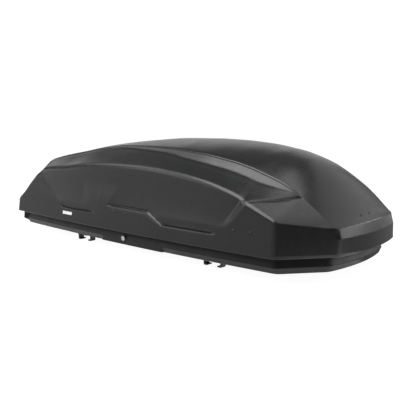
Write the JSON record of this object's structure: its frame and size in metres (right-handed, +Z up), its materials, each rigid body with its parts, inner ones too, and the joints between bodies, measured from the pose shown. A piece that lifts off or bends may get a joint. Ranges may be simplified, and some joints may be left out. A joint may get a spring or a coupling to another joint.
{
  "type": "roof cargo box",
  "caption": "Long low car roof box with a domed, creased lid hinged along one side, a shallow tub, quick clamps for roof bars, telescopic lid stays and a key lock.",
  "frame": {"origin": "on the ground under the middle of the box, which stands on its clamp jaws", "axes": "+X to the nose (forward on the car), +Y to the hinge side, -Y to the lock side, +Z up"},
  "size_m": [1.8912, 0.8396, 0.489],
  "materials": {
    "lid_plastic": "fine-grained dark charcoal, satin",
    "tub_plastic": "grained dark charcoal, matt",
    "clamp_plastic": "moulded black, fine spark grain",
    "knob_plastic": "moulded dark grey, satin",
    "jaw_steel": "black powder coat",
    "pad_rubber": "matt black",
    "seal_rubber": "matt black",
    "rail_steel": "zinc-plated",
    "hinge_steel": "black powder coat",
    "pin_steel": "bright",
    "stay_paint": "satin black",
    "rod_steel": "ground and plated",
    "latch_steel": "zinc-plated",
    "rivet_paint": "dark satin, slightly worn",
    "lock_plastic": "black, satin",
    "lock_metal": "satin chrome",
    "plate_metal": "satin silver, blank"
  },
  "bodies": {
    "base": {"base_shell": "tub_plastic", "rim_seal": "seal_rubber", "floor_rail_left": "rail_steel", "floor_rail_right": "rail_steel", "clamp_housing_front_left": "clamp_plastic", "crossbar_pad_front_left": "pad_rubber", "clamp_housing_front_right": "clamp_plastic", "crossbar_pad_front_right": "pad_rubber", "clamp_housing_rear_left": "clamp_plastic", "crossbar_pad_rear_left": "pad_rubber", "clamp_housing_rear_right": "clamp_plastic", "crossbar_pad_rear_right": "pad_rubber", "hinge_base_leaf_1": "hinge_steel", "hinge_base_leaf_2": "hinge_steel", "hinge_base_leaf_3": "hinge_steel", "hinge_pins": "pin_steel", "latch_guides": "lock_plastic", "lock_housing": "lock_plastic", "stay_foot_front": "hinge_steel", "stay_foot_rear": "hinge_steel"},
    "lid": {"lid_shell": "lid_plastic", "hinge_lid_leaf_1": "hinge_steel", "hinge_lid_leaf_2": "hinge_steel", "hinge_lid_leaf_3": "hinge_steel", "lid_catch_1": "hinge_steel", "lid_catch_2": "hinge_steel", "lid_catch_3": "hinge_steel", "side_rivets": "rivet_paint", "nose_bracket": "hinge_steel", "nose_rivets": "rivet_paint", "name_plate": "plate_metal", "stay_head_front": "hinge_steel", "stay_head_rear": "hinge_steel"},
    "knob_front_left": {"clamp_knob_front_left": "knob_plastic", "clamp_pinion_front_left": "pin_steel"},
    "jaw_front_front_left": {"clamp_jaw_front_front_left": "jaw_steel"},
    "jaw_rear_front_left": {"clamp_jaw_rear_front_left": "jaw_steel"},
    "knob_front_right": {"clamp_knob_front_right": "knob_plastic", "clamp_pinion_front_right": "pin_steel"},
    "jaw_front_front_right": {"clamp_jaw_front_front_right": "jaw_steel"},
    "jaw_rear_front_right": {"clamp_jaw_rear_front_right": "jaw_steel"},
    "knob_rear_left": {"clamp_knob_rear_left": "knob_plastic", "clamp_pinion_rear_left": "pin_steel"},
    "jaw_front_rear_left": {"clamp_jaw_front_rear_left": "jaw_steel"},
    "jaw_rear_rear_left": {"clamp_jaw_rear_rear_left": "jaw_steel"},
    "knob_rear_right": {"clamp_knob_rear_right": "knob_plastic", "clamp_pinion_rear_right": "pin_steel"},
    "jaw_front_rear_right": {"clamp_jaw_front_rear_right": "jaw_steel"},
    "jaw_rear_rear_right": {"clamp_jaw_rear_rear_right": "jaw_steel"},
    "stay_tube_front": {"stay_tube_front": "stay_paint"},
    "stay_rod_front": {"stay_rod_front": "rod_steel"},
    "stay_tube_rear": {"stay_tube_rear": "stay_paint"},
    "stay_rod_rear": {"stay_rod_rear": "rod_steel"},
    "latch_bar": {"latch_bar": "latch_steel"},
    "lock": {"lock_cylinder": "lock_metal", "lock_cam": "latch_steel"}
  },
  "joints": [
    {"name": "lid_hinge", "type": "hinge", "parent": "base", "child": "lid", "pos_m": [0, 0.375, 0.091], "axis": [-1, 0, 0], "range_deg": [0, 38]},
    {"name": "latch_slide", "type": "slide", "parent": "base", "child": "latch_bar", "axis": [0.9994, -0.0357, 0], "range_m": [0, 0.018]},
    {"name": "lock_turn", "type": "hinge", "parent": "base", "child": "lock", "pos_m": [-0.056, -0.36816, 0.061], "axis": [0, 1, 0], "range_deg": [0, 90]},
    {"name": "knob_turn_front_left", "type": "hinge", "parent": "base", "child": "knob_front_left", "pos_m": [0.405, 0.3, 0.078], "axis": [0, 0, 1], "range_deg": [0, 90]},
    {"name": "jaw_slide_front_front_left", "type": "slide", "parent": "base", "child": "jaw_front_front_left", "axis": [1, 0, 0], "range_m": [0, 0.01201]},
    {"name": "jaw_slide_rear_front_left", "type": "slide", "parent": "base", "child": "jaw_rear_front_left", "axis": [-1, 0, 0], "range_m": [0, 0.01201]},
    {"name": "knob_turn_front_right", "type": "hinge", "parent": "base", "child": "knob_front_right", "pos_m": [0.405, -0.3, 0.078], "axis": [0, 0, 1], "range_deg": [0, 90]},
    {"name": "jaw_slide_front_front_right", "type": "slide", "parent": "base", "child": "jaw_front_front_right", "axis": [1, 0, 0], "range_m": [0, 0.01201]},
    {"name": "jaw_slide_rear_front_right", "type": "slide", "parent": "base", "child": "jaw_rear_front_right", "axis": [-1, 0, 0], "range_m": [0, 0.01201]},
    {"name": "knob_turn_rear_left", "type": "hinge", "parent": "base", "child": "knob_rear_left", "pos_m": [-0.39, 0.3, 0.078], "axis": [0, 0, 1], "range_deg": [0, 90]},
    {"name": "jaw_slide_front_rear_left", "type": "slide", "parent": "base", "child": "jaw_front_rear_left", "axis": [1, 0, 0], "range_m": [0, 0.01201]},
    {"name": "jaw_slide_rear_rear_left", "type": "slide", "parent": "base", "child": "jaw_rear_rear_left", "axis": [-1, 0, 0], "range_m": [0, 0.01201]},
    {"name": "knob_turn_rear_right", "type": "hinge", "parent": "base", "child": "knob_rear_right", "pos_m": [-0.39, -0.3, 0.078], "axis": [0, 0, 1], "range_deg": [0, 90]},
    {"name": "jaw_slide_front_rear_right", "type": "slide", "parent": "base", "child": "jaw_front_rear_right", "axis": [1, 0, 0], "range_m": [0, 0.01201]},
    {"name": "jaw_slide_rear_rear_right", "type": "slide", "parent": "base", "child": "jaw_rear_rear_right", "axis": [-1, 0, 0], "range_m": [0, 0.01201]},
    {"name": "stay_swing_front", "type": "hinge", "parent": "base", "child": "stay_tube_front", "pos_m": [0.63, -0.10352, 0.05334], "axis": [-1, 0, 0], "range_deg": [0, 19]},
    {"name": "stay_slide_front", "type": "slide", "parent": "stay_tube_front", "child": "stay_rod_front", "axis": [0, 0.284, 0.9588], "range_m": [0, 0.2732]},
    {"name": "stay_swing_rear", "type": "hinge", "parent": "base", "child": "stay_tube_rear", "pos_m": [-0.59, -0.10352, 0.05334], "axis": [-1, 0, 0], "range_deg": [0, 19]},
    {"name": "stay_slide_rear", "type": "slide", "parent": "stay_tube_rear", "child": "stay_rod_rear", "axis": [0, 0.284, 0.9588], "range_m": [0, 0.2732]}
  ],
  "couplings": [
    {"joint": "jaw_slide_front_front_left", "follows": "knob_turn_front_left", "m_per_rad": 0.00764},
    {"joint": "jaw_slide_rear_front_left", "follows": "knob_turn_front_left", "m_per_rad": 0.00764},
    {"joint": "jaw_slide_front_front_right", "follows": "knob_turn_front_right", "m_per_rad": 0.00764},
    {"joint": "jaw_slide_rear_front_right", "follows": "knob_turn_front_right", "m_per_rad": 0.00764},
    {"joint": "jaw_slide_front_rear_left", "follows": "knob_turn_rear_left", "m_per_rad": 0.00764},
    {"joint": "jaw_slide_rear_rear_left", "follows": "knob_turn_rear_left", "m_per_rad": 0.00764},
    {"joint": "jaw_slide_front_rear_right", "follows": "knob_turn_rear_right", "m_per_rad": 0.00764},
    {"joint": "jaw_slide_rear_rear_right", "follows": "knob_turn_rear_right", "m_per_rad": 0.00764},
    {"joint": "stay_swing_front", "follows": "lid_hinge", "ratio": 0.5},
    {"joint": "stay_slide_front", "follows": "lid_hinge", "m_per_rad": 0.41169},
    {"joint": "stay_swing_rear", "follows": "lid_hinge", "ratio": 0.5},
    {"joint": "stay_slide_rear", "follows": "lid_hinge", "m_per_rad": 0.41169},
    {"joint": "lock_turn", "follows": "latch_slide", "rad_per_m": 87.2}
  ]
}
